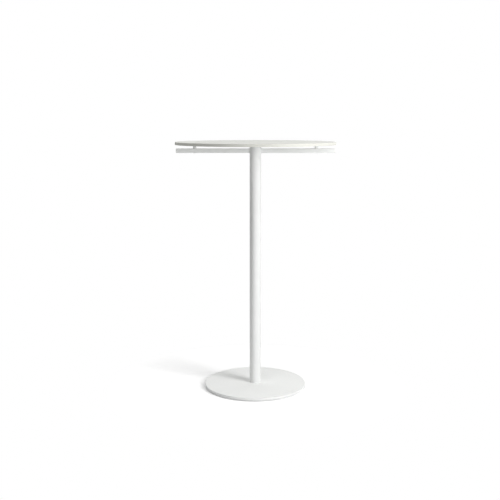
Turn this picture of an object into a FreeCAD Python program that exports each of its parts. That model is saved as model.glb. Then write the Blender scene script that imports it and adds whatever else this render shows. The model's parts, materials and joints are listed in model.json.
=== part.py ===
import FreeCAD, Part
import math
import os
import re
import Sketcher

# A tall pedestal table: round top on a cross rail, one column, a round base plate on levelling feet.
# Millimetres, +Z up. The origin is on the floor below the column, and the rail runs along X.

doc = FreeCAD.newDocument("WineTable")
sheet = doc.addObject("Spreadsheet::Sheet", "Sizes")

# Driving dimensions: name, value, what it measures
sizes = [
    # Tabletop
    ("table_height", 1100, "floor to the top surface"),
    ("top_diameter", 700, "across the round board"),
    ("top_thickness", 12, "board"),
    ("top_edge_radius", 1, "easing of both rims of the board"),
    ("insert_roof", 2.5, "board left above a blind insert hole"),
    # Threaded inserts and M6 screws
    ("insert_diameter", 10, "blind hole for an insert"),
    ("insert_end_gap", 0.5, "free depth above an insert"),
    ("insert_chamfer", 0.6, "lead-in at both ends of an insert"),
    ("screw_diameter", 6, "thread of the screws in the board"),
    ("screw_hole_diameter", 6.6, "clearance hole for such a screw"),
    ("screw_tip_gap", 3.5, "free depth beyond a screw's tip"),
    ("screw_chamfer", 0.8, "bevel on a screw's tip"),
    # Column head plate and its screws
    ("plate_diameter", 160, "round plate on the column head"),
    ("plate_thickness", 6, "the same plate"),
    ("plate_hole_inset", 16, "rim of the plate to a screw"),
    ("plate_edge_chamfer", 0.5, "broken rims of the plate"),
    ("vent_diameter", 8, "hole that lets the closed tube breathe in the paint oven"),
    ("button_head_diameter", 10.5, "head of a plate screw"),
    ("button_head_height", 3.3, "the same head"),
    ("button_head_radius", 2.2, "dome of the same head"),
    ("button_socket_width", 4, "its hexagon socket, across flats"),
    ("button_socket_depth", 2, "the same socket"),
    # Cross rail, a square tube
    ("rail_setback", 3.5, "rim of the board to the rail's end"),
    ("rail_size", 19, "outside of the square section"),
    ("rail_wall", 1.5, "wall of the tube"),
    ("rail_inner_radius", 1, "inside corners; outside corners are one wall more"),
    ("rail_gap", 17, "free height between rail and board, the spacers' length"),
    ("access_hole_diameter", 12, "hole below each spacer screw"),
    # Rail end caps
    ("cap_flange", 3, "visible thickness of an end cap"),
    ("cap_edge_radius", 0.8, "eased rim of an end cap"),
    ("cap_spigot_length", 14, "part of the cap inside the tube"),
    ("cap_wall", 1.6, "wall of the hollow spigot"),
    # Plugs in the access holes
    ("plug_flange_diameter", 14, "visible rim of a plug"),
    ("plug_flange_thickness", 1, "the same rim"),
    ("plug_flange_radius", 0.6, "eased edge of the rim"),
    ("plug_barrel_length", 4, "part of the plug inside the tube"),
    ("plug_barrel_wall", 1.2, "wall of the hollow barrel"),
    # Spacers, their screws and washers
    ("spacer_inset", 85, "rim of the board to a spacer"),
    ("spacer_diameter", 14, "round sleeve"),
    ("spacer_chamfer", 0.4, "broken rims of the sleeve"),
    ("washer_diameter", 11, "under a spacer screw's head"),
    ("washer_thickness", 1.5, "the same washer"),
    ("cap_head_diameter", 10, "head of a spacer screw"),
    ("cap_head_height", 6, "the same head"),
    ("cap_head_chamfer", 0.6, "its bevelled rim"),
    ("cap_socket_width", 5, "its hexagon socket, across flats"),
    ("cap_socket_depth", 3, "the same socket"),
    # Column
    ("column_diameter", 50, "outside of the round tube"),
    ("column_wall", 2, "wall of the tube"),
    ("foot_plug_length", 25, "steel plug in the foot of the tube"),
    ("foot_plug_chamfer", 1, "lead-in at the plug's upper rim"),
    # Base plate, its bolt and dowel
    ("base_diameter", 455, "across the round plate"),
    ("base_thickness", 12, "the same plate"),
    ("base_edge_radius", 1.5, "eased rims of the plate"),
    ("bolt_diameter", 12, "thread of the base bolt"),
    ("bolt_hole_diameter", 13, "clearance hole for it"),
    ("bolt_head_diameter", 24, "countersunk head, 90 degree cone"),
    ("bolt_engagement", 20, "thread in the foot plug"),
    ("bolt_chamfer", 1.5, "bevel on the bolt's tip"),
    ("bolt_socket_width", 8, "its hexagon socket, across flats"),
    ("bolt_socket_depth", 5, "the same socket"),
    ("dowel_diameter", 6, "pin that stops the column turning"),
    ("dowel_offset", 15, "column axis to the dowel"),
    ("dowel_floor", 4, "plate left below the dowel"),
    ("dowel_plug_depth", 8, "length of the dowel in the foot plug"),
    ("dowel_end_gap", 0.5, "free depth above the dowel"),
    ("dowel_chamfer", 0.6, "bevel on both ends of the dowel"),
    # Levelling feet
    ("foot_height", 3, "gap between floor and base plate, screwed fully in"),
    ("foot_inset", 35, "rim of the base plate to a foot"),
    ("pad_diameter", 30, "round pad"),
    ("pad_edge_radius", 1, "eased lower rim of the pad"),
    ("notch_diameter", 4, "finger notch in the pad's rim"),
    ("stud_diameter", 8, "thread of a foot"),
    ("stud_hole_roof", 1.5, "plate left above a blind foot hole"),
    ("stud_end_gap", 0.5, "free depth above a stud, screwed fully in"),
    ("stud_chamfer", 1, "bevel on the stud's tip"),
    ("stud_flange_diameter", 16, "head of the stud, moulded into the pad"),
    ("stud_flange_thickness", 1.5, "the same head"),
    # Clearances
    ("fit_clearance", 0.05, "all round a thread, dowel or insert"),
    ("slip_clearance", 0.15, "all round a piece that slides in before it is fixed"),
]

for row, (name, value, note) in enumerate(sizes, start=1):
    sheet.set(f"A{row}", note)
    sheet.set(f"B{row}", str(value))
    sheet.setAlias(f"B{row}", name)
doc.recompute()

size_names = {name for name, value, note in sizes}
sides = {"left": -1, "right": 1}
corners = {
    "front_left": (-1, -1),
    "front_right": (1, -1),
    "back_right": (1, 1),
    "back_left": (-1, 1),
}
notch_count = 12
full_turn = 360
half_turn = 180
match_tolerance_share = 1e-6

# Heights, lengths and places that several pieces share, as formulas in the sheet's names
underside = "(table_height - top_thickness)"
rail_top = f"({underside} - rail_gap)"
rail_axis = f"({rail_top} - rail_size / 2)"
rail_foot = f"({rail_top} - rail_size)"
column_head = f"({underside} - plate_thickness)"
base_top = "(foot_height + base_thickness)"
rail_tube_length = "(top_diameter - 2 * rail_setback - 2 * cap_flange)"
rail_outer_radius = "(rail_inner_radius + rail_wall)"
rail_bore = "(rail_size - 2 * rail_wall)"
spacer_reach = "(top_diameter / 2 - spacer_inset)"
plate_screw_offset = "((plate_diameter / 2 - plate_hole_inset) / sqrt(2))"
foot_offset = "((base_diameter / 2 - foot_inset) / sqrt(2))"
insert_depth = "(top_thickness - insert_roof)"
screw_grip = f"({insert_depth} - screw_tip_gap)"
thread_bore = "(screw_diameter + 2 * fit_clearance)"
dowel_bore = "(dowel_diameter + 2 * fit_clearance)"
dowel_base_depth = "(base_thickness - dowel_floor)"
stud_hole_depth = "(base_thickness - stud_hole_roof)"


def cells(formula):
    # The formula with each size's name turned into a reference to its cell
    def refer(word):
        return f"Sizes.{word[0]}" if word[0] in size_names else word[0]
    return re.sub(r"[a-z_]+", refer, formula)


def measure(formula):
    return float(sheet.evalExpression(cells(formula)))


def new_body(label, x="0", y="0", z="0", turn=0):
    body = doc.addObject("PartDesign::Body", label)
    body.Label = label
    body.Placement.Rotation = FreeCAD.Rotation(FreeCAD.Vector(0, 0, 1), turn)
    for axis, place in (("x", x), ("y", y), ("z", z)):
        body.setExpression(f"Placement.Base.{axis}", cells(place))
    return body


def origin_feature(body, role):
    return next(item for item in body.Origin.OriginFeatures if item.Role == role)


def new_sketch(body, plane, x="0", y="0", lift="0"):
    # A sketch on one of the body's own planes, moved along the sketch's axes
    sketch = body.newObject("Sketcher::SketchObject", f"{body.Name}_sketch")
    sketch.AttachmentSupport = [(origin_feature(body, f"{plane}_Plane"), "")]
    sketch.MapMode = "FlatFace"
    for axis, place in (("x", x), ("y", y), ("z", lift)):
        sketch.setExpression(f"AttachmentOffset.Base.{axis}", cells(place))
    return sketch


def bind(sketch, kind, *where, formula):
    number = sketch.addConstraint(Sketcher.Constraint(kind, *where, measure(formula)))
    sketch.setExpression(f"Constraints[{number}]", cells(formula))


def add_circle(sketch, diameter):
    circle = Part.Circle(FreeCAD.Vector(), FreeCAD.Vector(0, 0, 1), measure(diameter) / 2)
    index = sketch.addGeometry(circle)
    sketch.addConstraint(Sketcher.Constraint("Coincident", index, 3, -1, 1))
    bind(sketch, "Diameter", index, formula=diameter)


def add_outline(sketch, points):
    # A closed outline of straight lines, each corner placed by its two formulas
    corners_now = [FreeCAD.Vector(measure(x), measure(y)) for x, y in points]
    first = sketch.GeometryCount
    for start, end in zip(corners_now, corners_now[1:] + corners_now[:1]):
        sketch.addGeometry(Part.LineSegment(start, end))
    for number, (x, y) in enumerate(points):
        line = first + number
        following = first + (number + 1) % len(points)
        sketch.addConstraint(Sketcher.Constraint("Coincident", line, 2, following, 1))
        for kind, place, axis in (("DistanceX", x, -2), ("DistanceY", y, -1)):
            if place == "0":
                sketch.addConstraint(Sketcher.Constraint("PointOnObject", line, 1, axis))
            else:
                bind(sketch, kind, -1, 1, line, 1, formula=place)


def add_rounded_square(sketch, width, radius):
    # A square with round corners about the sketch's origin: four sides, then four arcs
    half = measure(width) / 2
    bend = measure(radius)
    flat = half - bend
    first = sketch.GeometryCount
    ends = [(-flat, -half, flat, -half), (half, -flat, half, flat),
            (flat, half, -flat, half), (-half, flat, -half, -flat)]
    for x1, y1, x2, y2 in ends:
        sketch.addGeometry(Part.LineSegment(FreeCAD.Vector(x1, y1), FreeCAD.Vector(x2, y2)))
    for quarter, (x, y) in enumerate([(flat, -flat), (flat, flat), (-flat, flat), (-flat, -flat)]):
        circle = Part.Circle(FreeCAD.Vector(x, y), FreeCAD.Vector(0, 0, 1), bend)
        start = (quarter - 1) * math.pi / 2
        sketch.addGeometry(Part.ArcOfCircle(circle, start, start + math.pi / 2))
    side = [first + number for number in range(4)]
    arc = [first + 4 + number for number in range(4)]
    for number in range(4):
        sketch.addConstraint(Sketcher.Constraint("Tangent", side[number], 2, arc[number], 1))
        sketch.addConstraint(Sketcher.Constraint("Tangent", arc[number], 2, side[(number + 1) % 4], 1))
        level = "Vertical" if number % 2 else "Horizontal"
        sketch.addConstraint(Sketcher.Constraint(level, side[number]))
    for number in range(3):
        sketch.addConstraint(Sketcher.Constraint("Equal", arc[number], arc[number + 1]))
    sketch.addConstraint(Sketcher.Constraint("Symmetric", arc[0], 3, arc[2], 3, -1, 1))
    bind(sketch, "DistanceX", side[3], 1, side[1], 1, formula=width)
    bind(sketch, "DistanceY", side[0], 1, side[2], 1, formula=width)
    bind(sketch, "Radius", arc[0], formula=radius)


def pad(body, sketch, length, backward=False, both_ways=False):
    feature = body.newObject("PartDesign::Pad", f"{body.Name}_pad")
    feature.Profile = sketch
    feature.Reversed = backward
    feature.SideType = "Symmetric" if both_ways else "One side"
    feature.setExpression("Length", cells(length))
    doc.recompute()


def check_cut(body, volume_before):
    doc.recompute()
    if body.Tip.Shape.Volume >= volume_before:
        raise ValueError(f"{body.Label}: {body.Tip.Name} cuts nothing")


def pocket(body, sketch, depth, forward=False, both_ways=False):
    # Cuts against the sketch's normal, or along it when forward
    volume_before = body.Tip.Shape.Volume
    feature = body.newObject("PartDesign::Pocket", f"{body.Name}_pocket")
    feature.Profile = sketch
    feature.Reversed = forward
    feature.SideType = "Symmetric" if both_ways else "One side"
    feature.setExpression("Length", cells(depth))
    check_cut(body, volume_before)
    return feature


def revolve(body, points):
    sketch = new_sketch(body, "XZ")
    add_outline(sketch, points)
    feature = body.newObject("PartDesign::Revolution", f"{body.Name}_revolution")
    feature.Profile = sketch
    feature.ReferenceAxis = (sketch, ["V_Axis"])
    feature.Angle = full_turn
    doc.recompute()


def groove(body, points):
    volume_before = body.Tip.Shape.Volume
    sketch = new_sketch(body, "XZ")
    add_outline(sketch, points)
    feature = body.newObject("PartDesign::Groove", f"{body.Name}_groove")
    feature.Profile = sketch
    feature.ReferenceAxis = (sketch, ["V_Axis"])
    feature.Angle = full_turn
    check_cut(body, volume_before)


def repeat(body, feature, count):
    # Copies of a feature evenly spaced about the body's Z axis
    volume_before = body.Tip.Shape.Volume
    pattern = body.newObject("PartDesign::PolarPattern", f"{body.Name}_pattern")
    pattern.Originals = [feature]
    pattern.Axis = (origin_feature(body, "Z_Axis"), [""])
    pattern.Angle = full_turn
    pattern.Occurrences = count
    body.Tip = pattern
    check_cut(body, volume_before)


def alike(length, formula):
    return abs(length - measure(formula)) < match_tolerance_share * measure("table_height")


def ease_edges(body, kind, amount, fits):
    # Rounds or bevels every edge that fits
    base = body.Tip
    edges = [f"Edge{number}" for number, edge in enumerate(base.Shape.Edges, start=1) if fits(edge)]
    feature = body.newObject(f"PartDesign::{kind}", f"{body.Name}_{kind.lower()}")
    feature.Base = (base, edges)
    feature.setExpression("Radius" if kind == "Fillet" else "Size", cells(amount))
    doc.recompute()


def ease(body, kind, amount, *rims):
    # Rounds or bevels the circular edges that have one of these diameters and heights
    def is_rim(edge):
        curve = edge.Curve
        return isinstance(curve, Part.Circle) and any(
            alike(2 * curve.Radius, diameter) and alike(curve.Center.z, height) for diameter, height in rims)
    ease_edges(body, kind, amount, is_rim)


def disc(body, diameter, length, bore=None, lift="0"):
    sketch = new_sketch(body, "XY", lift=lift)
    add_circle(sketch, diameter)
    if bore:
        add_circle(sketch, bore)
    pad(body, sketch, length)


def hole(body, diameter, depth, x="0", y="0", lift="0", upward=False):
    sketch = new_sketch(body, "XY", x, y, lift)
    add_circle(sketch, diameter)
    return pocket(body, sketch, depth, forward=upward)


def hexagon_socket(body, width, depth, lift):
    # Cut upward from the given height, two flats square to X
    half = f"({width} / 2)"
    corner = f"({width} / sqrt(3))"
    points = [("0", corner), (f"-{half}", f"{corner} / 2"), (f"-{half}", f"-{corner} / 2"),
              ("0", f"-{corner}"), (half, f"-{corner} / 2"), (half, f"{corner} / 2")]
    sketch = new_sketch(body, "XY", lift=lift)
    add_outline(sketch, points)
    pocket(body, sketch, depth, forward=True)


# Tabletop, from its underside up
def make_tabletop():
    body = new_body("tabletop", z=underside)
    disc(body, "top_diameter", "top_thickness")
    ease(body, "Fillet", "top_edge_radius", ("top_diameter", "0"), ("top_diameter", "top_thickness"))
    over_spacer = hole(body, "insert_diameter", insert_depth, x=spacer_reach, upward=True)
    repeat(body, over_spacer, len(sides))
    over_plate = hole(body, "insert_diameter", insert_depth,
                      plate_screw_offset, plate_screw_offset, upward=True)
    repeat(body, over_plate, len(corners))


# Threaded insert, flush with the board's underside
def make_insert(label, x, y):
    body = new_body(label, x, y, underside)
    outside = "(insert_diameter - 2 * fit_clearance)"
    length = f"({insert_depth} - insert_end_gap)"
    disc(body, outside, length, bore=thread_bore)
    ease(body, "Chamfer", "insert_chamfer", (outside, "0"), (outside, length))


# Plate on the column head
def make_top_plate():
    body = new_body("top_plate", z=column_head)
    disc(body, "plate_diameter", "plate_thickness", bore="vent_diameter")
    ease(body, "Chamfer", "plate_edge_chamfer",
         ("plate_diameter", "0"), ("plate_diameter", "plate_thickness"))
    corner_hole = hole(body, "screw_hole_diameter", "plate_thickness",
                       plate_screw_offset, plate_screw_offset, upward=True)
    repeat(body, corner_hole, len(corners))


# Screw with its head below z = 0 and its thread above
def make_screw(label, place, head_diameter, head_height, length, socket_width, socket_depth):
    body = new_body(label, *place)
    head_radius = f"{head_diameter} / 2"
    shank_radius = "screw_diameter / 2"
    revolve(body, [("0", f"-{head_height}"), (head_radius, f"-{head_height}"), (head_radius, "0"),
                   (shank_radius, "0"), (shank_radius, length), ("0", length)])
    ease(body, "Chamfer", "screw_chamfer", ("screw_diameter", length))
    hexagon_socket(body, socket_width, socket_depth, f"-{head_height}")
    return body


def make_plate_screw(label, x, y):
    length = f"(plate_thickness + {screw_grip})"
    body = make_screw(label, (x, y, column_head), "button_head_diameter", "button_head_height", length,
                      "button_socket_width", "button_socket_depth")
    ease(body, "Fillet", "button_head_radius", ("button_head_diameter", "-button_head_height"))


def make_spacer_screw(label, x):
    length = f"(washer_thickness + rail_wall + rail_gap + {screw_grip})"
    height = f"{rail_top} - rail_wall - washer_thickness"
    body = make_screw(label, (x, "0", height), "cap_head_diameter", "cap_head_height", length,
                      "cap_socket_width", "cap_socket_depth")
    ease(body, "Chamfer", "cap_head_chamfer", ("cap_head_diameter", "-cap_head_height"))


def make_washer(label, x):
    body = new_body(label, x, "0", f"{rail_top} - rail_wall - washer_thickness")
    disc(body, "washer_diameter", "washer_thickness", bore="screw_hole_diameter")


# Sleeve between rail and board
def make_spacer(label, x):
    body = new_body(label, x, "0", rail_top)
    disc(body, "spacer_diameter", "rail_gap", bore="screw_hole_diameter")
    ease(body, "Chamfer", "spacer_chamfer", ("spacer_diameter", "0"), ("spacer_diameter", "rail_gap"))


# Square tube across the column, about its own middle
def make_cross_rail():
    body = new_body("cross_rail", z=rail_axis)
    section = new_sketch(body, "YZ")
    add_rounded_square(section, "rail_size", rail_outer_radius)
    add_rounded_square(section, rail_bore, "rail_inner_radius")
    pad(body, section, rail_tube_length, both_ways=True)
    upper = hole(body, "screw_hole_diameter", "rail_size / 2", x=spacer_reach, lift="rail_size / 2")
    repeat(body, upper, len(sides))
    lower = hole(body, "access_hole_diameter", "rail_size / 2",
                 x=spacer_reach, lift="-rail_size / 2", upward=True)
    repeat(body, lower, len(sides))


# End cap: a flange on the tube's end and a hollow spigot inside it
def make_rail_cap(label, side):
    turn = 0 if side > 0 else half_turn
    body = new_body(label, f"{side} * {rail_tube_length} / 2", "0", rail_axis, turn)
    flange = new_sketch(body, "YZ")
    add_rounded_square(flange, "rail_size", rail_outer_radius)
    pad(body, flange, "cap_flange")
    ease_edges(body, "Fillet", "cap_edge_radius", lambda edge: alike(edge.CenterOfMass.x, "cap_flange"))
    spigot = new_sketch(body, "YZ")
    spigot_size = f"({rail_bore} - 2 * slip_clearance)"
    add_rounded_square(spigot, spigot_size, "rail_inner_radius - slip_clearance")
    pad(body, spigot, "cap_spigot_length", backward=True)
    hollow = new_sketch(body, "YZ")
    hollow_size = f"({spigot_size} - 2 * cap_wall)"
    half = f"({hollow_size} / 2)"
    add_outline(hollow, [(f"-{half}", f"-{half}"), (half, f"-{half}"), (half, half), (f"-{half}", half)])
    pocket(body, hollow, "cap_spigot_length")


# Plug in an access hole, its rim against the rail's lower face
def make_rail_plug(label, x):
    body = new_body(label, x, "0", rail_foot)
    barrel = "(access_hole_diameter - 2 * slip_clearance)"
    disc(body, "plug_flange_diameter", "plug_flange_thickness", lift="-plug_flange_thickness")
    ease(body, "Fillet", "plug_flange_radius", ("plug_flange_diameter", "-plug_flange_thickness"))
    disc(body, barrel, "plug_barrel_length", bore=f"{barrel} - 2 * plug_barrel_wall")


# Round tube from the base plate to the head plate, cut through for the rail
def make_column_tube():
    body = new_body("column_tube", z=base_top)
    disc(body, "column_diameter", f"{column_head} - {base_top}", bore="column_diameter - 2 * column_wall")
    opening = new_sketch(body, "YZ", y=f"{rail_axis} - {base_top}")
    add_rounded_square(opening, "rail_size + 2 * slip_clearance", f"{rail_outer_radius} + slip_clearance")
    pocket(body, opening, "2 * column_diameter", both_ways=True)


# Plug in the column's foot, threaded for the base bolt
def make_column_foot_plug():
    body = new_body("column_foot_plug", z=base_top)
    outside = "(column_diameter - 2 * column_wall - 2 * slip_clearance)"
    disc(body, outside, "foot_plug_length", bore="bolt_diameter + 2 * fit_clearance")
    ease(body, "Chamfer", "foot_plug_chamfer", (outside, "foot_plug_length"))
    hole(body, dowel_bore, "dowel_plug_depth + dowel_end_gap", x="dowel_offset", upward=True)


# Base plate, from its underside up
def make_base_plate():
    body = new_body("base_plate", z="foot_height")
    disc(body, "base_diameter", "base_thickness")
    ease(body, "Fillet", "base_edge_radius", ("base_diameter", "0"), ("base_diameter", "base_thickness"))
    countersink = "(bolt_head_diameter / 2 + slip_clearance)"
    passage = "(bolt_hole_diameter / 2)"
    groove(body, [("0", "0"), (countersink, "0"), (passage, f"{countersink} - {passage}"),
                  (passage, "base_thickness"), ("0", "base_thickness")])
    hole(body, dowel_bore, dowel_base_depth, x="dowel_offset", lift="base_thickness")
    stud_bore = "stud_diameter + 2 * fit_clearance"
    foot_hole = hole(body, stud_bore, stud_hole_depth, foot_offset, foot_offset, upward=True)
    repeat(body, foot_hole, len(corners))


# Countersunk bolt, its head flush with the base plate's underside
def make_base_bolt():
    body = new_body("base_bolt", z="foot_height")
    head = "bolt_head_diameter / 2"
    shank = "bolt_diameter / 2"
    tip = "(base_thickness + bolt_engagement)"
    revolve(body, [("0", "0"), (head, "0"), (shank, f"{head} - {shank}"), (shank, tip), ("0", tip)])
    ease(body, "Chamfer", "bolt_chamfer", ("bolt_diameter", tip))
    hexagon_socket(body, "bolt_socket_width", "bolt_socket_depth", "0")


# Dowel across the joint of column and base
def make_base_dowel():
    body = new_body("base_dowel", "dowel_offset", "0", base_top)
    foot = f"-{dowel_base_depth}"
    disc(body, "dowel_diameter", f"{dowel_base_depth} + dowel_plug_depth", lift=foot)
    ease(body, "Chamfer", "dowel_chamfer", ("dowel_diameter", foot), ("dowel_diameter", "dowel_plug_depth"))


# Pad of a levelling foot, with finger notches in its rim
def make_foot_pad(label, x, y):
    body = new_body(label, x, y)
    disc(body, "pad_diameter", "foot_height")
    ease(body, "Fillet", "pad_edge_radius", ("pad_diameter", "0"))
    hole(body, "stud_flange_diameter + 2 * slip_clearance", "stud_flange_thickness", lift="foot_height")
    notch = hole(body, "notch_diameter", "foot_height", x="pad_diameter / 2", upward=True)
    repeat(body, notch, notch_count)


# Stud of a levelling foot: a flat head in the pad and a thread in the base plate
def make_foot_stud(label, x, y):
    body = new_body(label, x, y, "foot_height")
    length = f"({stud_hole_depth} - stud_end_gap)"
    disc(body, "stud_flange_diameter", "stud_flange_thickness", lift="-stud_flange_thickness")
    disc(body, "stud_diameter", length)
    ease(body, "Chamfer", "stud_chamfer", ("stud_diameter", length))


make_tabletop()
make_top_plate()
make_cross_rail()
make_column_tube()
make_column_foot_plug()
make_base_plate()
make_base_bolt()
make_base_dowel()
for side_name, side in sides.items():
    spacer_x = f"{side} * {spacer_reach}"
    make_spacer(f"spacer_{side_name}", spacer_x)
    make_spacer_screw(f"spacer_screw_{side_name}", spacer_x)
    make_washer(f"spacer_washer_{side_name}", spacer_x)
    make_insert(f"spacer_insert_{side_name}", spacer_x, "0")
    make_rail_plug(f"rail_plug_{side_name}", spacer_x)
    make_rail_cap(f"rail_cap_{side_name}", side)
for corner_name, (corner_x, corner_y) in corners.items():
    screw_place = (f"{corner_x} * {plate_screw_offset}", f"{corner_y} * {plate_screw_offset}")
    make_plate_screw(f"plate_screw_{corner_name}", *screw_place)
    make_insert(f"plate_insert_{corner_name}", *screw_place)
    foot_place = (f"{corner_x} * {foot_offset}", f"{corner_y} * {foot_offset}")
    make_foot_pad(f"foot_pad_{corner_name}", *foot_place)
    make_foot_stud(f"foot_stud_{corner_name}", *foot_place)
doc.recompute()

# Every object has to be sound before anything is written
for item in doc.Objects:
    if {"Invalid", "Error"} & set(item.State):
        raise RuntimeError(f"{item.Label} failed: {item.State}")
pieces = [item for item in doc.Objects if item.isDerivedFrom("PartDesign::Body")]
for piece in pieces:
    if piece.Shape.isNull() or not piece.Shape.isValid() or len(piece.Shape.Solids) != 1:
        raise RuntimeError(f"{piece.Label} isn't one valid solid")

os.makedirs("parts", exist_ok=True)
for piece in pieces:
    piece.Shape.exportStep(f"parts/{piece.Label}.step")
    print(piece.Label, round(piece.Shape.Volume), "mm3")
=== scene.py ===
import bmesh
import bpy
import json
import math
from mathutils import Matrix, Vector


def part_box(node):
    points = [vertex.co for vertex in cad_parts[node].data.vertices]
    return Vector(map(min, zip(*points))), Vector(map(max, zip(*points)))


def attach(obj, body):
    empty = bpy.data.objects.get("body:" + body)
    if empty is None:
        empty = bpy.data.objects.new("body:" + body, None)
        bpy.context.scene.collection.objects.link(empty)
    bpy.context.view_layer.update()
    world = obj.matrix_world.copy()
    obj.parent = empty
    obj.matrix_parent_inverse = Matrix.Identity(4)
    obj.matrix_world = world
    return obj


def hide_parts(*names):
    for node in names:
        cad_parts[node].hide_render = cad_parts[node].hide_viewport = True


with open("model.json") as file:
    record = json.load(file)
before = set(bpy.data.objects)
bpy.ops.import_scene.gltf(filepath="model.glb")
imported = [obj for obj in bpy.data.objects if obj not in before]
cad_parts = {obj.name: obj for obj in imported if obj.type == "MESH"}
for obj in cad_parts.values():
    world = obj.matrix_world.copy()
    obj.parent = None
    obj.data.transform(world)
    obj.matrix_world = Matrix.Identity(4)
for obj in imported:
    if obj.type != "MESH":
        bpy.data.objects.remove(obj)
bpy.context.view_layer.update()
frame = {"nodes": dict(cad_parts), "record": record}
nodes = frame["nodes"]
print("frame loaded,", len(nodes), "nodes")


# Small helpers for node trees
def addNode(tree, kind, x, y, **settings):
    node = tree.nodes.new(kind)
    node.location = (x, y)
    for name, value in settings.items():
        setattr(node, name, value)
    return node


def setInputs(node, **values):
    for name, value in values.items():
        node.inputs[name.replace("_", " ")].default_value = value
    return node


def addRange(tree, x, y, low, high, newLow=0.0, newHigh=1.0, smooth=False):
    node = addNode(tree, "ShaderNodeMapRange", x, y, clamp=True)
    node.interpolation_type = "SMOOTHSTEP" if smooth else "LINEAR"
    for number, value in enumerate((low, high, newLow, newHigh), start=1):
        node.inputs[number].default_value = value
    return node


def newGroup(name, inputs, outputs):
    group = bpy.data.node_groups.new(name, "ShaderNodeTree")
    group.interface.new_socket("Vector", in_out="INPUT", socket_type="NodeSocketVector")
    for label, value in inputs.items():
        socket = group.interface.new_socket(label, in_out="INPUT", socket_type="NodeSocketFloat")
        socket.default_value = value
    for label in outputs:
        group.interface.new_socket(label, in_out="OUTPUT", socket_type="NodeSocketFloat")
    start = addNode(group, "NodeGroupInput", -900, 0)
    end = addNode(group, "NodeGroupOutput", 600, 0)
    return group, start, end


# Orange peel of a sprayed coat, and the slow change of tone below it
sprayGrainSettings = {"inputs": {"Peel Scale": 600.0, "Mottle Scale": 7.0},
                      "peel": {"Detail": 2.0, "Roughness": 0.45},
                      "mottle": {"Detail": 4.0, "Roughness": 0.55}, "mottleRange": (0.3, 0.7)}


def makeSprayGrain(settings):
    group, start, end = newGroup("sprayGrain", settings["inputs"], ["Peel", "Mottle"])
    peel = setInputs(addNode(group, "ShaderNodeTexNoise", -600, 200), **settings["peel"])
    mottle = setInputs(addNode(group, "ShaderNodeTexNoise", -600, -200), **settings["mottle"])
    spread = addRange(group, -200, -200, *settings["mottleRange"])
    group.links.new(start.outputs["Vector"], peel.inputs["Vector"])
    group.links.new(start.outputs["Peel Scale"], peel.inputs["Scale"])
    group.links.new(start.outputs["Vector"], mottle.inputs["Vector"])
    group.links.new(start.outputs["Mottle Scale"], mottle.inputs["Scale"])
    group.links.new(mottle.outputs["Fac"], spread.inputs["Value"])
    group.links.new(peel.outputs["Fac"], end.inputs["Peel"])
    group.links.new(spread.outputs["Result"], end.inputs["Mottle"])
    return group


# Fine specks on faces that look up
settledDustSettings = {"inputs": {"Speck Scale": 420.0}, "speck": {"Detail": 3.0, "Roughness": 0.7},
                       "speckRange": (0.62, 0.74), "upwardRange": (0.6, 0.98)}


def makeSettledDust(settings):
    group, start, end = newGroup("settledDust", settings["inputs"], ["Mask"])
    facing = addNode(group, "ShaderNodeNewGeometry", -900, -300)
    split = addNode(group, "ShaderNodeSeparateXYZ", -700, -300)
    upward = addRange(group, -500, -300, *settings["upwardRange"])
    speck = setInputs(addNode(group, "ShaderNodeTexNoise", -600, 200), **settings["speck"])
    few = addRange(group, -300, 200, *settings["speckRange"])
    both = addNode(group, "ShaderNodeMath", 100, 0, operation="MULTIPLY")
    group.links.new(start.outputs["Vector"], speck.inputs["Vector"])
    group.links.new(start.outputs["Speck Scale"], speck.inputs["Scale"])
    group.links.new(speck.outputs["Fac"], few.inputs["Value"])
    group.links.new(facing.outputs["Normal"], split.inputs["Vector"])
    group.links.new(split.outputs["Z"], upward.inputs["Value"])
    group.links.new(few.outputs["Result"], both.inputs[0])
    group.links.new(upward.outputs["Result"], both.inputs[1])
    group.links.new(both.outputs["Value"], end.inputs["Mask"])
    return group


# Rim of a round plate about the table's axis: a broken rubbed band, and the edge, whose darker tone is
# painted shade
rimRubAndShadeSettings = {"inputs": {"Radius": 0.35, "Width": 0.01}, "edgeWidth": 0.0014,
                  "patch": {"Scale": 24.0, "Detail": 3.0}, "patchRange": (0.38, 0.62)}


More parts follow.
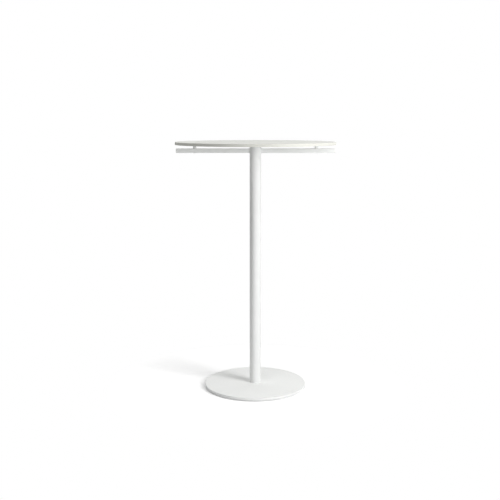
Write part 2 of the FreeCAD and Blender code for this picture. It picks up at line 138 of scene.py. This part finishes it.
def makeRimRubAndShade(settings):
    group, start, end = newGroup("rimRubAndShade", settings["inputs"], ["Rubbed", "Edge"])
    flat = addNode(group, "ShaderNodeVectorMath", -700, 200, operation="MULTIPLY")
    flat.inputs[1].default_value = (1, 1, 0)
    reach = addNode(group, "ShaderNodeVectorMath", -500, 200, operation="LENGTH")
    bandStart = addNode(group, "ShaderNodeMath", -500, -100, operation="SUBTRACT")
    edgeStart = addNode(group, "ShaderNodeMath", -500, 400, operation="SUBTRACT")
    edgeStart.inputs[1].default_value = settings["edgeWidth"]
    band = addRange(group, -250, 100, 0.0, 1.0, smooth=True)
    edge = addRange(group, -250, 400, 0.0, 1.0, smooth=True)
    patch = setInputs(addNode(group, "ShaderNodeTexNoise", -500, -300), **settings["patch"])
    broken = addRange(group, -250, -300, *settings["patchRange"])
    both = addNode(group, "ShaderNodeMath", 200, 0, operation="MULTIPLY")
    group.links.new(start.outputs["Vector"], flat.inputs[0])
    group.links.new(flat.outputs["Vector"], reach.inputs[0])
    group.links.new(start.outputs["Width"], bandStart.inputs[1])
    for ramp, lowest in ((band, bandStart), (edge, edgeStart)):
        group.links.new(start.outputs["Radius"], lowest.inputs[0])
        group.links.new(reach.outputs["Value"], ramp.inputs["Value"])
        group.links.new(lowest.outputs["Value"], ramp.inputs["From Min"])
        group.links.new(start.outputs["Radius"], ramp.inputs["From Max"])
    group.links.new(start.outputs["Vector"], patch.inputs["Vector"])
    group.links.new(patch.outputs["Fac"], broken.inputs["Value"])
    group.links.new(band.outputs["Result"], both.inputs[0])
    group.links.new(broken.outputs["Result"], both.inputs[1])
    group.links.new(both.outputs["Value"], end.inputs["Rubbed"])
    group.links.new(edge.outputs["Result"], end.inputs["Edge"])
    return group


# Fine lines round a turned or rolled piece whose axis is upright
latheLinesSettings = {"inputs": {"Line Scale": 1800.0}, "acrossScale": 40.0,
                      "lines": {"Scale": 1.0, "Detail": 2.0, "Roughness": 0.6}}


def makeLatheLines(settings):
    group, start, end = newGroup("latheLines", settings["inputs"], ["Lines"])
    stretch = addNode(group, "ShaderNodeCombineXYZ", -650, -100)
    setInputs(stretch, X=settings["acrossScale"], Y=settings["acrossScale"])
    along = addNode(group, "ShaderNodeVectorMath", -450, 0, operation="MULTIPLY")
    lines = setInputs(addNode(group, "ShaderNodeTexNoise", -200, 0), **settings["lines"])
    group.links.new(start.outputs["Line Scale"], stretch.inputs["Z"])
    group.links.new(start.outputs["Vector"], along.inputs[0])
    group.links.new(stretch.outputs["Vector"], along.inputs[1])
    group.links.new(along.outputs["Vector"], lines.inputs["Vector"])
    group.links.new(lines.outputs["Fac"], end.inputs["Lines"])
    return group


# Pebbled skin that a mould leaves on plastic
mouldGrainSettings = {"inputs": {"Grain Scale": 1600.0}, "haze": {"Detail": 2.0}}


def makeMouldGrain(settings):
    group, start, end = newGroup("mouldGrain", settings["inputs"], ["Grain"])
    pebble = addNode(group, "ShaderNodeTexVoronoi", -600, 150)
    haze = setInputs(addNode(group, "ShaderNodeTexNoise", -600, -200), **settings["haze"])
    both = addNode(group, "ShaderNodeMath", 0, 0, operation="MULTIPLY")
    for texture in (pebble, haze):
        group.links.new(start.outputs["Vector"], texture.inputs["Vector"])
        group.links.new(start.outputs["Grain Scale"], texture.inputs["Scale"])
    group.links.new(pebble.outputs["Distance"], both.inputs[0])
    group.links.new(haze.outputs["Fac"], both.inputs[1])
    group.links.new(both.outputs["Value"], end.inputs["Grain"])
    return group


sprayGrain = makeSprayGrain(sprayGrainSettings)
settledDust = makeSettledDust(settledDustSettings)
rimRubAndShade = makeRimRubAndShade(rimRubAndShadeSettings)
latheLines = makeLatheLines(latheLinesSettings)
mouldGrain = makeMouldGrain(mouldGrainSettings)
print("node groups made:", len(bpy.data.node_groups))


# Small helpers for materials
def newMaterial(name):
    material = bpy.data.materials.new(name)
    material.use_nodes = True
    tree = material.node_tree
    tree.nodes.clear()
    shader = addNode(tree, "ShaderNodeBsdfPrincipled", 600, 0)
    output = addNode(tree, "ShaderNodeOutputMaterial", 900, 0)
    place = addNode(tree, "ShaderNodeTexCoord", -1200, 0)
    tree.links.new(shader.outputs["BSDF"], output.inputs["Surface"])
    return material, tree, shader, place.outputs["Object"]


def addGroup(tree, group, place, y, **values):
    node = setInputs(addNode(tree, "ShaderNodeGroup", -900, y, node_tree=group), **values)
    tree.links.new(place, node.inputs["Vector"])
    return node


def addMix(tree, x, mask, first, second):
    node = addNode(tree, "ShaderNodeMix", x, 300, data_type="RGBA")
    tree.links.new(mask, node.inputs["Factor"])
    for socket, colour in ((node.inputs["A"], first), (node.inputs["B"], second)):
        if isinstance(colour, bpy.types.NodeSocket):
            tree.links.new(colour, socket)
        else:
            socket.default_value = (*colour, 1)
    return node.outputs["Result"]


def addRoughness(tree, shader, mask, low, high):
    spread = addRange(tree, 300, 0, 0.0, 1.0, low, high)
    tree.links.new(mask, spread.inputs["Value"])
    tree.links.new(spread.outputs["Result"], shader.inputs["Roughness"])


def addBump(tree, shader, height, distance):
    bump = setInputs(addNode(tree, "ShaderNodeBump", 300, -400), Distance=distance)
    tree.links.new(height, bump.inputs["Height"])
    tree.links.new(bump.outputs["Normal"], shader.inputs["Normal"])


# White coats: lacquer on the board, powder coat on the steel. The base plate's coat is the frame's powder
# coat made lighter, which is painted light on the plate's upward face. A round plate's rim has tones of its
# own: a rubbed band, and a darker edge that is painted shade, on the board partly also the edge's own warmer
# colour
coatSettings = {
    "topLacquer": {"tone": (0.72, 0.725, 0.686), "mottled": (0.705, 0.71, 0.671),
                   "dusty": (0.62, 0.62, 0.59), "roughness": (0.58, 0.66), "specular": 0.16,
                   "peelScale": 900, "peelHeight": 0.00002, "rimOf": "tabletop", "rimWidth": 0.012,
                   # the board's edge: darker and warmer, partly its own edge colour and partly painted shade
                   "rubbed": (0.70, 0.703, 0.663), "edge": (0.64, 0.64, 0.59)},
    "framePaint": {"tone": (0.801, 0.809, 0.801), "mottled": (0.792, 0.80, 0.792),
                   "dusty": (0.70, 0.70, 0.68), "roughness": (0.56, 0.64), "specular": 0.24,
                   "peelScale": 560, "peelHeight": 0.00004},
    # the base plate: the frame's powder coat made lighter, painted light for the light its upward face gets
    "baseCoatPaintedLight": {"tone": (0.91, 0.918, 0.904), "mottled": (0.896, 0.904, 0.89),
                  "dusty": (0.70, 0.70, 0.68), "roughness": (0.56, 0.64), "specular": 0.24,
                  "peelScale": 560, "peelHeight": 0.00004, "rimOf": "base_plate", "rimWidth": 0.02,
                  # the base plate's darker edge is painted shade
                  "rubbed": (0.87, 0.877, 0.866), "edge": (0.80, 0.807, 0.796)},
}


def makeCoat(name, settings):
    material, tree, shader, place = newMaterial(name)
    grain = addGroup(tree, sprayGrain, place, 200, Peel_Scale=settings["peelScale"])
    dust = addGroup(tree, settledDust, place, -200)
    colour = addMix(tree, -500, grain.outputs["Mottle"], settings["tone"], settings["mottled"])
    if "rimOf" in settings:
        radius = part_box(settings["rimOf"])[1].x
        rim = addGroup(tree, rimRubAndShade, place, 500, Radius=radius, Width=settings["rimWidth"])
        colour = addMix(tree, -300, rim.outputs["Rubbed"], colour, settings["rubbed"])
        # darker rim edge: painted shade, on the board partly also the edge's own colour
        colour = addMix(tree, -100, rim.outputs["Edge"], colour, settings["edge"])
    colour = addMix(tree, 100, dust.outputs["Mask"], colour, settings["dusty"])
    tree.links.new(colour, shader.inputs["Base Color"])
    addRoughness(tree, shader, grain.outputs["Mottle"], *settings["roughness"])
    addBump(tree, shader, grain.outputs["Peel"], settings["peelHeight"])
    shader.inputs["Specular IOR Level"].default_value = settings["specular"]
    return material


# Bright zinc on the fasteners, brass in the board
metalSettings = {
    "zincSteel": {"tone": (0.60, 0.61, 0.62), "cloud": (0.66, 0.65, 0.61), "cloudScale": 160,
                  "groove": (0.46, 0.47, 0.48), "grooveRange": (0.35, 0.6), "grooveShare": 0.5,
                  "roughness": (0.26, 0.42), "lineScale": 1500, "lineHeight": 0.00002},
    "insertBrass": {"tone": (0.70, 0.55, 0.28), "cloud": (0.62, 0.46, 0.22), "cloudScale": 220,
                    "groove": (0.50, 0.37, 0.17), "grooveRange": (0.35, 0.6), "grooveShare": 0.5,
                    "roughness": (0.24, 0.38), "lineScale": 2600, "lineHeight": 0.00003},
}


def makeMetal(name, settings):
    material, tree, shader, place = newMaterial(name)
    lines = addGroup(tree, latheLines, place, 200, Line_Scale=settings["lineScale"])
    cloud = addGroup(tree, sprayGrain, place, -200, Mottle_Scale=settings["cloudScale"])
    colour = addMix(tree, -400, cloud.outputs["Mottle"], settings["tone"], settings["cloud"])
    deep = addRange(tree, -600, 500, *settings["grooveRange"], settings["grooveShare"], 0.0)
    tree.links.new(lines.outputs["Lines"], deep.inputs["Value"])
    colour = addMix(tree, -100, deep.outputs["Result"], colour, settings["groove"])
    tree.links.new(colour, shader.inputs["Base Color"])
    addRoughness(tree, shader, cloud.outputs["Mottle"], *settings["roughness"])
    addBump(tree, shader, lines.outputs["Lines"], settings["lineHeight"])
    shader.inputs["Metallic"].default_value = 1.0
    return material


# Moulded caps and plugs, and the darker foot pads
plasticSettings = {
    "whitePlastic": {"tone": (0.82, 0.825, 0.805), "mottled": (0.80, 0.805, 0.78), "flowScale": 45.0,
                     "dusty": (0.68, 0.68, 0.66), "speckScale": 700.0, "roughness": (0.46, 0.58),
                     "specular": 0.3, "grainScale": 2200, "grainHeight": 0.00003},
    "footPlastic": {"tone": (0.055, 0.055, 0.058), "mottled": (0.075, 0.075, 0.077), "flowScale": 45.0,
                    "dusty": (0.22, 0.21, 0.20), "speckScale": 700.0, "roughness": (0.52, 0.68),
                    "specular": 0.4, "grainScale": 1400, "grainHeight": 0.00006},
}


def makePlastic(name, settings):
    material, tree, shader, place = newMaterial(name)
    grain = addGroup(tree, mouldGrain, place, 200, Grain_Scale=settings["grainScale"])
    flow = addGroup(tree, sprayGrain, place, -100, Mottle_Scale=settings["flowScale"])
    dust = addGroup(tree, settledDust, place, -400, Speck_Scale=settings["speckScale"])
    colour = addMix(tree, -300, flow.outputs["Mottle"], settings["tone"], settings["mottled"])
    colour = addMix(tree, 0, dust.outputs["Mask"], colour, settings["dusty"])
    tree.links.new(colour, shader.inputs["Base Color"])
    addRoughness(tree, shader, flow.outputs["Mottle"], *settings["roughness"])
    addBump(tree, shader, grain.outputs["Grain"], settings["grainHeight"])
    shader.inputs["Specular IOR Level"].default_value = settings["specular"]
    return material


finishes = {name: makeCoat(name, coat) for name, coat in coatSettings.items()}
finishes.update({name: makeMetal(name, metal) for name, metal in metalSettings.items()})
finishes.update({name: makePlastic(name, plastic) for name, plastic in plasticSettings.items()})
print("finishes made:", ", ".join(finishes))

# Finish of every piece that comes from the frame, by its slot in the record
slotFinishes = {
    "top_lacquer": "topLacquer", "frame_paint": "framePaint", "white_plastic": "whitePlastic",
    "foot_plastic": "footPlastic", "zinc_steel": "zincSteel", "insert_brass": "insertBrass",
}
for part in frame["record"]["subparts"]:
    # the base plate gets the lighter copy of the frame paint, which is painted light on its face
    finish = "baseCoatPaintedLight" if part["node"] == "base_plate" else slotFinishes[part["material_slot"]]
    for materialSlot in nodes[part["node"]].material_slots:
        materialSlot.material = finishes[finish]
print("finishes given to", len(nodes), "nodes")


# What every new piece has in common: merged doubles, outward faces, soft shading, body and slot
pieceSettings = {"mergeGap": 1e-7, "creaseAngle": 32}


def newPiece(name, shape, finish, body, replaced=None):
    bmesh.ops.remove_doubles(shape, verts=shape.verts[:], dist=pieceSettings["mergeGap"])
    bmesh.ops.recalc_face_normals(shape, faces=shape.faces[:])
    mesh = bpy.data.meshes.new(name)
    shape.to_mesh(mesh)
    shape.free()
    mesh.shade_smooth()
    mesh.set_sharp_from_angle(angle=math.radians(pieceSettings["creaseAngle"]))
    mesh.materials.append(finishes[finish])
    piece = bpy.data.objects.new(name, mesh)
    bpy.context.scene.collection.objects.link(piece)
    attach(piece, body)
    if replaced:
        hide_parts(replaced)
    print("piece made:", name, len(mesh.polygons), "faces")


# Extrudes a ring of edges to a new level, wider or narrower by its growth
def raiseRing(shape, ring, level, growth=1.0):
    grown = bmesh.ops.extrude_edge_only(shape, edges=ring)["geom"]
    verts = [item for item in grown if isinstance(item, bmesh.types.BMVert)]
    edges = [item for item in grown if isinstance(item, bmesh.types.BMEdge)]
    middle = sum((vert.co for vert in verts), Vector()) / len(verts)
    bmesh.ops.scale(shape, verts=verts, vec=(growth, growth, 1), space=Matrix.Translation(-middle))
    bmesh.ops.translate(shape, verts=verts, vec=(0, 0, level - middle.z))
    return [edge for edge in edges if set(edge.verts) <= set(verts)]


# Round plates with eased rims, bored from below. A hole's wall is (radius, depth) from its mouth on
corners = ("front_left", "front_right", "back_right", "back_left")
insertHole = ((0.005, 0), (0.005, 0.0095))
boltHole = ((0.01215, 0), (0.0065, 0.00565), (0.0065, 0.012))
studHole = ((0.00405, 0), (0.00405, 0.0105))
plateSettings = {
    "board": {"node": "tabletop", "finish": "topLacquer", "slot": "top_lacquer", "segments": 288,
              "ease": 0.001, "easeSteps": 6, "holeSegments": 48,
              "holes": {**{"plate_insert_" + corner: insertHole for corner in corners},
                        "spacer_insert_left": insertHole, "spacer_insert_right": insertHole}},
    # the base plate wears the lighter copy of the frame paint, which is painted light
    "baseDisc": {"node": "base_plate", "finish": "baseCoatPaintedLight", "slot": "frame_paint", "segments": 288,
                 "ease": 0.0015, "easeSteps": 6, "holeSegments": 48,
                 "holes": {"base_bolt": boltHole,
                           **{"foot_stud_" + corner: studHole for corner in corners}}},
}


def holeRim(shape, node, radius, level, segments):
    low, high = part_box(node)
    place = Matrix.Translation(((low.x + high.x) / 2, (low.y + high.y) / 2, level))
    verts = bmesh.ops.create_circle(shape, segments=segments, radius=radius, matrix=place)["verts"]
    return list(dict.fromkeys(edge for vert in verts for edge in vert.link_edges))  # each edge once


def capFaces(shape):
    return [face for face in shape.faces if len(face.verts) > 4]


def makePlate(name, settings):
    low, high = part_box(settings["node"])
    radius = min(high.x, high.y, -low.x, -low.y)
    ease = settings["ease"]
    shape = bmesh.new()
    bmesh.ops.create_cone(shape, cap_ends=True, segments=settings["segments"], radius1=radius, radius2=radius,
                          depth=high.z - low.z, matrix=Matrix.Translation((0, 0, (low.z + high.z) / 2)))
    rims = [edge for face in capFaces(shape) for edge in face.edges]
    bmesh.ops.bevel(shape, geom=rims, offset=ease, affect="EDGES", segments=settings["easeSteps"],
                    profile=0.5, material=-1)
    bmesh.ops.inset_region(shape, faces=capFaces(shape), thickness=ease)
    caps = sorted(capFaces(shape), key=lambda face: face.calc_center_median().z)
    underRing, topRing = (list(cap.edges) for cap in caps)
    bmesh.ops.delete(shape, geom=caps, context="FACES_ONLY")
    bores = []
    for node, wall in settings["holes"].items():
        mouth = wall[0][0]
        bores.append((holeRim(shape, node, mouth, low.z, settings["holeSegments"]), wall))
    mouths = [edge for rim, wall in bores for edge in rim]
    bmesh.ops.triangle_fill(shape, use_beauty=True, edges=underRing + mouths)
    for rim, wall in bores:
        for (lastRadius, lastDepth), (nextRadius, depth) in zip(wall, wall[1:]):
            rim = raiseRing(shape, rim, low.z + depth, nextRadius / lastRadius)
        if depth < high.z - low.z - ease / 2:
            bmesh.ops.holes_fill(shape, edges=rim)
        else:
            topRing += rim
    bmesh.ops.triangle_fill(shape, use_beauty=True, edges=topRing)
    newPiece(name, shape, settings["finish"], "table", settings["node"])


# Column: a round tube with an opening that the rail passes through
columnSettings = {"segments": 144, "wall": 0.002, "slack": 0.00015}


def makeColumn(settings):
    low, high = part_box("column_tube")
    railLow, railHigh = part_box("cross_rail")
    sill, lintel = railLow.z - settings["slack"], railHigh.z + settings["slack"]
    jamb = railHigh.y + settings["slack"]
    shape = bmesh.new()
    bmesh.ops.create_circle(shape, segments=settings["segments"], radius=high.x,
                            matrix=Matrix.Translation((0, 0, low.z)))
    ring = shape.edges[:]
    for level in (sill, lintel, high.z):
        ring = raiseRing(shape, ring, level)
    for side in (-jamb, jamb):
        bmesh.ops.bisect_plane(shape, geom=shape.verts[:] + shape.edges[:] + shape.faces[:],
                               plane_co=(0, side, 0), plane_no=(0, 1, 0))
    opening = []
    for face in shape.faces:
        middle = face.calc_center_median()
        if sill < middle.z < lintel and abs(middle.y) < jamb:
            opening.append(face)
    bmesh.ops.delete(shape, geom=opening, context="FACES")
    bmesh.ops.recalc_face_normals(shape, faces=shape.faces[:])
    bmesh.ops.solidify(shape, geom=shape.faces[:], thickness=settings["wall"])
    newPiece("columnTube", shape, "framePaint", "table", "column_tube")


# Bead that joins the column's head to the plate above it
headWeldSettings = {"leg": 0.003, "arcSteps": 6, "ripples": 58, "stepsPerRipple": 6, "rippleShare": 0.07}


def makeHeadWeld(settings):
    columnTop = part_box("column_tube")[1]
    radius, plateFoot, leg = columnTop.x, columnTop.z, settings["leg"]
    shape = bmesh.new()
    corner = shape.verts.new((radius, 0, plateFoot))
    arc = []
    for step in range(settings["arcSteps"] + 1):
        turn = step / settings["arcSteps"] * math.pi / 2
        arc.append(shape.verts.new((radius + leg * math.cos(turn), 0, plateFoot - leg * math.sin(turn))))
    loop = [corner, *arc]
    for first, second in zip(loop, loop[1:] + loop[:1]):
        shape.edges.new((first, second))
    bmesh.ops.spin(shape, geom=shape.verts[:] + shape.edges[:], cent=(0, 0, 0), axis=(0, 0, 1),
                   angle=2 * math.pi, steps=settings["ripples"] * settings["stepsPerRipple"], use_merge=True)
    for vert in shape.verts:  # each ripple is a little fuller in its middle
        reach = Vector((vert.co.x, vert.co.y))
        swell = 1 + settings["rippleShare"] * math.cos(math.atan2(reach.y, reach.x) * settings["ripples"])
        reach *= (radius + (reach.length - radius) * swell) / reach.length
        vert.co = (reach.x, reach.y, plateFoot - (plateFoot - vert.co.z) * swell)
    newPiece("headWeld", shape, "framePaint", "table")


# Beads round the rail where it enters the column
railWeldSettings = {"radius": 0.002, "arcSteps": 3, "cornerRadius": 0.0025, "ripples": 26,
                    "stepsPerRipple": 6, "rippleShare": 0.1}


# Point of the rail's rounded square at a share of the way round it
def railOutline(share, half, corner):
    straight = half - corner
    quarter = 2 * straight + corner * math.pi / 2
    side, along = divmod(share * 4 * quarter, quarter)
    point = Vector((half, along - straight))
    if along > 2 * straight:
        turn = (along - 2 * straight) / corner
        point = Vector((straight + corner * math.cos(turn), straight + corner * math.sin(turn)))
    return Matrix.Rotation(side * math.pi / 2, 2) @ point


def makeRailWeld(name, side, settings):
    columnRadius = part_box("column_tube")[1].x
    railLow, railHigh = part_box("cross_rail")
    middle = (railLow.z + railHigh.z) / 2
    path = bpy.data.curves.new(name, "CURVE")
    path.dimensions = "3D"
    path.bevel_depth = settings["radius"]
    path.bevel_resolution = settings["arcSteps"]
    line = path.splines.new("POLY")
    line.use_cyclic_u = True
    count = settings["ripples"] * settings["stepsPerRipple"]
    line.points.add(count - 1)
    for number, point in enumerate(line.points):
        across, up = railOutline(number / count, railHigh.y, settings["cornerRadius"])
        point.co = (side * math.sqrt(columnRadius ** 2 - across ** 2), across, middle + up, 1)
        ripple = 2 * math.pi * number / settings["stepsPerRipple"]
        point.radius = 1 + settings["rippleShare"] * math.cos(ripple)
    bead = bpy.data.objects.new(name + "Path", path)
    bpy.context.scene.collection.objects.link(bead)
    mesh = bpy.data.meshes.new_from_object(bead.evaluated_get(bpy.context.evaluated_depsgraph_get()))
    shape = bmesh.new()
    shape.from_mesh(mesh)
    bpy.data.meshes.remove(mesh)
    bpy.data.objects.remove(bead)
    bpy.data.curves.remove(path)
    newPiece(name, shape, "framePaint", "table")


# Steel of a levelling foot: a flange held in the pad, and an M8 thread above it. The thread's root and
# crest are flat for a share of the pitch, and it starts a few turns too low and is cut off at the flange
studSettings = {"pitch": 0.00125, "crest": 0.004, "root": 0.00332, "crestShare": 0.125, "rootShare": 0.25,
                "stepsPerTurn": 36, "sunkTurns": 2, "point": 0.001, "mergeGap": 1e-6,
                "flangeHeight": 0.0015, "flangeEase": 0.0003, "flangeEaseSteps": 2, "flangeSegments": 64}


def makeStud(corner, settings):
    low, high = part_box("foot_stud_" + corner)
    pitch, crest, root = settings["pitch"], settings["crest"], settings["root"]
    shoulder = low.z + settings["flangeHeight"]
    turns = math.ceil((high.z - shoulder) / pitch) + settings["sunkTurns"] + 1
    flankShare = (1 - settings["rootShare"] - settings["crestShare"]) / 2
    crestStart = settings["rootShare"] + flankShare
    rows = ((root, 0), (root, settings["rootShare"]), (crest, crestStart),
            (crest, crestStart + settings["crestShare"]), (root, 1))
    shape = bmesh.new()
    profile = []
    for radius, share in rows:
        level = shoulder + (share - settings["sunkTurns"]) * pitch
        profile.append(shape.verts.new((radius, 0, level)))
    for first, second in zip(profile, profile[1:]):
        shape.edges.new((first, second))
    bmesh.ops.spin(shape, geom=shape.verts[:] + shape.edges[:], cent=(0, 0, 0), axis=(0, 0, 1),
                   dvec=(0, 0, pitch / settings["stepsPerTurn"]), angle=2 * math.pi * turns,
                   steps=settings["stepsPerTurn"] * turns)
    bmesh.ops.remove_doubles(shape, verts=shape.verts[:], dist=settings["mergeGap"])
    for level, upward in ((shoulder - settings["flangeEase"], -1), (high.z, 1)):
        bmesh.ops.bisect_plane(shape, geom=shape.verts[:] + shape.edges[:] + shape.faces[:],
                               dist=pieceSettings["mergeGap"], plane_co=(0, 0, level),
                               plane_no=(0, 0, upward), clear_outer=True)
    bmesh.ops.holes_fill(shape, edges=[edge for edge in shape.edges if edge.is_boundary])
    for vert in shape.verts:  # the thread runs out in a point
        reach = math.hypot(vert.co.x, vert.co.y)
        most = crest - max(0, vert.co.z - high.z + settings["point"])
        if reach > most:
            vert.co.x *= most / reach
            vert.co.y *= most / reach
    flangeRadius = (high.x - low.x) / 2
    flange = bmesh.ops.create_cone(shape, cap_ends=True, segments=settings["flangeSegments"],
                                   radius1=flangeRadius, radius2=flangeRadius,
                                   depth=settings["flangeHeight"],
                                   matrix=Matrix.Translation((0, 0, (low.z + shoulder) / 2)))["verts"]
    flangeEdges = dict.fromkeys(edge for vert in flange for edge in vert.link_edges)  # each edge once
    rims = [edge for edge in flangeEdges
            if abs(edge.verts[0].co.z - edge.verts[1].co.z) < settings["mergeGap"]]
    bmesh.ops.bevel(shape, geom=rims, offset=settings["flangeEase"], affect="EDGES",
                    segments=settings["flangeEaseSteps"], profile=0.5, material=-1)
    bmesh.ops.translate(shape, verts=shape.verts[:], vec=((low.x + high.x) / 2, (low.y + high.y) / 2, 0))
    newPiece("stud" + corner.title().replace("_", ""), shape, "zincSteel", "foot_" + corner,
             "foot_stud_" + corner)


for plateName, plate in plateSettings.items():
    makePlate(plateName, plate)
makeColumn(columnSettings)
makeHeadWeld(headWeldSettings)
makeRailWeld("railWeldLeft", -1, railWeldSettings)
makeRailWeld("railWeldRight", 1, railWeldSettings)
for corner in corners:
    makeStud(corner, studSettings)


# Camera, as the photograph frames the table
cameraSettings = {"lens": 58.645, "sensor": 36.0, "place": (-0.02379, -3.57691, 1.18966), "pitch": 9.0}


def makeCamera(settings):
    data = bpy.data.cameras.new("camera")
    data.lens = settings["lens"]
    data.sensor_width = settings["sensor"]
    camera = bpy.data.objects.new("camera", data)
    camera.location = settings["place"]
    camera.rotation_euler = (math.radians(90 - settings["pitch"]), 0, 0)
    bpy.context.scene.collection.objects.link(camera)
    bpy.context.scene.camera = camera


# Softboxes: size in metres, power in watts
lampSettings = {
    "keyLow": {"place": (1.734, -1.354, 1.05), "aim": (0, 0, 1.05), "size": (0.95, 0.5), "power": 25},
    "keyMiddle": {"place": (2.049, -1.601, 1.8), "aim": (0, 0, 1.8), "size": (1.4, 1.0), "power": 23.3},
    "keyHigh": {"place": (2.236, -1.685, 3.3), "aim": (0, 0, 0.3), "size": (0.8, 0.8), "power": 16.4},
    "frontLamp": {"place": (-1.775, -3.807, 1.3), "aim": (0, 0, 0.6), "size": (2.4, 1.6), "power": 36},
    "backLeft": {"place": (-2.0, 3.6, 3.2), "aim": (0, 0, 0.5), "size": (4.0, 2.4), "power": 33},
    "backRight": {"place": (2.0, 3.6, 3.2), "aim": (0, 0, 0.5), "size": (4.0, 2.4), "power": 26.4},
    "overLamp": {"place": (0, 0, 3.6), "aim": (0, 0, 0), "size": (5.0, 5.0), "power": 70},
}


def makeLamp(name, settings):
    data = bpy.data.lights.new(name, "AREA")
    data.shape = "RECTANGLE"
    data.size, data.size_y = settings["size"]
    data.energy = settings["power"]
    lamp = bpy.data.objects.new(name, data)
    lamp.location = settings["place"]
    aim = Vector(settings["aim"]) - Vector(settings["place"])
    lamp.rotation_euler = aim.to_track_quat("-Z", "Y").to_euler()
    lamp.visible_camera = False
    bpy.context.scene.collection.objects.link(lamp)


# Rays that see the backdrop: from the camera, and as mirrored or through glass
def addSeenRays(tree, x, y):
    rays = addNode(tree, "ShaderNodeLightPath", x, y)
    cameraOrGloss = addNode(tree, "ShaderNodeMath", x + 250, y, operation="MAXIMUM")
    seen = addNode(tree, "ShaderNodeMath", x + 450, y, operation="MAXIMUM")
    tree.links.new(rays.outputs["Is Camera Ray"], cameraOrGloss.inputs[0])
    tree.links.new(rays.outputs["Is Glossy Ray"], cameraOrGloss.inputs[1])
    tree.links.new(cameraOrGloss.outputs["Value"], seen.inputs[0])
    tree.links.new(rays.outputs["Is Transmission Ray"], seen.inputs[1])
    return seen.outputs["Value"]


# White surroundings that light the table only a little
worldSettings = {"white": (1.0, 1.0, 1.0), "light": 0.08}


def makeWorld(settings):
    world = bpy.data.worlds.new("studio")
    bpy.context.scene.world = world
    world.use_nodes = True
    tree = world.node_tree
    tree.nodes.clear()
    seen = addSeenRays(tree, -700, 300)
    light = setInputs(addNode(tree, "ShaderNodeBackground", -250, 0), Strength=settings["light"])
    white = addNode(tree, "ShaderNodeBackground", -250, -200)
    for back in (light, white):
        back.inputs["Color"].default_value = (*settings["white"], 1)
    choice = addNode(tree, "ShaderNodeMixShader", 0, 0)
    output = addNode(tree, "ShaderNodeOutputWorld", 250, 0)
    tree.links.new(seen, choice.inputs["Fac"])
    tree.links.new(light.outputs["Background"], choice.inputs[1])
    tree.links.new(white.outputs["Background"], choice.inputs[2])
    tree.links.new(choice.outputs["Shader"], output.inputs["Surface"])


# Pale floor. The camera sees brighter paper near the table, with the table's shadow on it, and plain white
# further out. Other rays see paper that is pale near the table and grey further out
floorSettings = {"radius": 6.0, "segments": 96, "paperReach": (0.5, 1.3), "paperTone": (0.92, 0.5),
                 "seenReach": (0.2, 0.6), "seenTone": (1.22, 1.34), "whiteReach": (0.54, 0.68)}


def makeFloor(settings):
    mesh = bpy.data.meshes.new("floor")
    shape = bmesh.new()
    bmesh.ops.create_circle(shape, cap_ends=True, segments=settings["segments"], radius=settings["radius"])
    shape.to_mesh(mesh)
    shape.free()
    floor = bpy.data.objects.new("floor", mesh)
    bpy.context.scene.collection.objects.link(floor)
    material = bpy.data.materials.new("floorPaper")
    material.use_nodes = True
    tree = material.node_tree
    tree.nodes.clear()
    place = addNode(tree, "ShaderNodeTexCoord", -900, -400)
    reach = addNode(tree, "ShaderNodeVectorMath", -700, -400, operation="LENGTH")
    paperTone = addRange(tree, -500, 150, *settings["paperReach"], *settings["paperTone"])
    seenTone = addRange(tree, -500, -150, *settings["seenReach"], *settings["seenTone"])
    fade = addRange(tree, -500, -400, *settings["whiteReach"], smooth=True)
    paper = addNode(tree, "ShaderNodeBsdfDiffuse", -250, 100)
    seenPaper = addNode(tree, "ShaderNodeBsdfDiffuse", -250, -100)
    white = addNode(tree, "ShaderNodeEmission", -250, -250)
    seen = addNode(tree, "ShaderNodeMixShader", 0, -150)
    seenRays = addSeenRays(tree, -500, 400)
    choice = addNode(tree, "ShaderNodeMixShader", 250, 0)
    output = addNode(tree, "ShaderNodeOutputMaterial", 450, 0)
    tree.links.new(place.outputs["Object"], reach.inputs[0])
    for ramp in (paperTone, seenTone, fade):
        tree.links.new(reach.outputs["Value"], ramp.inputs["Value"])
    tree.links.new(paperTone.outputs["Result"], paper.inputs["Color"])
    tree.links.new(seenTone.outputs["Result"], seenPaper.inputs["Color"])
    tree.links.new(fade.outputs["Result"], seen.inputs["Fac"])
    tree.links.new(seenPaper.outputs["BSDF"], seen.inputs[1])
    tree.links.new(white.outputs["Emission"], seen.inputs[2])
    tree.links.new(seenRays, choice.inputs["Fac"])
    tree.links.new(paper.outputs["BSDF"], choice.inputs[1])
    tree.links.new(seen.outputs["Shader"], choice.inputs[2])
    tree.links.new(choice.outputs["Shader"], output.inputs["Surface"])
    mesh.materials.append(material)


makeCamera(cameraSettings)
for lampName, lamp in lampSettings.items():
    makeLamp(lampName, lamp)
makeWorld(worldSettings)
makeFloor(floorSettings)
bpy.context.scene.view_settings.view_transform = "Standard"
print("studio made")
